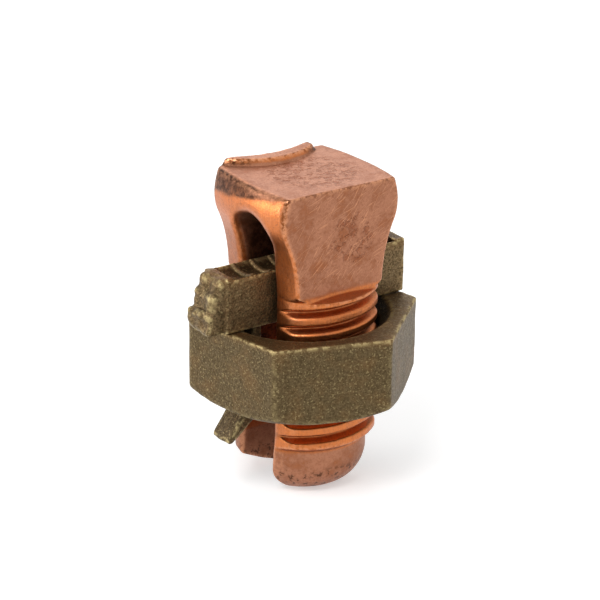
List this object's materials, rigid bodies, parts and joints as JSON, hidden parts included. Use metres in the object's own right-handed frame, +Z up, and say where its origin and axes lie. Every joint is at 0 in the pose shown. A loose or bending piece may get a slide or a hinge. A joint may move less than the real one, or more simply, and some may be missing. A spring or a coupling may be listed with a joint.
{
  "type": "split bolt connector",
  "caption": "Slotted copper bolt with a bronze pressure bar and hex nut that clamp electrical conductors together in the slot.",
  "frame": {"origin": "centre of the conductor that lies in the rounded crown of the slot", "axes": "+X along the conductors, away from the casting stub; +Z up the bolt's axis toward the head; +Y toward the lip"},
  "size_m": [0.0205, 0.0198, 0.028],
  "materials": {
    "copper": "tumbled bare copper, rolled and stamped faces dull pink, freshly cut threads and edges bright orange",
    "cast_bronze": "as-cast bronze, olive brown, granular, with pale worn edges",
    "nut_bronze": "dull olive-brown bronze, granular, with pale worn corners"
  },
  "bodies": {
    "bolt": {"bolt_body": "copper"},
    "bar": {"pressure_bar": "cast_bronze"},
    "nut": {"hex_nut": "nut_bronze"}
  },
  "joints": [
    {"name": "bar_travel", "type": "slide", "parent": "bolt", "child": "bar", "axis": [0, 0, 1], "range_m": [-0.004, 0.0026]},
    {"name": "nut_turn", "type": "hinge", "parent": "bar", "child": "nut", "pos_m": [0, 0, 0], "axis": [0, 0, 1], "range_deg": [-1020, 663]}
  ],
  "couplings": [
    {"joint": "bar_travel", "follows": "nut_turn", "m_per_rad": 0.00022457}
  ]
}
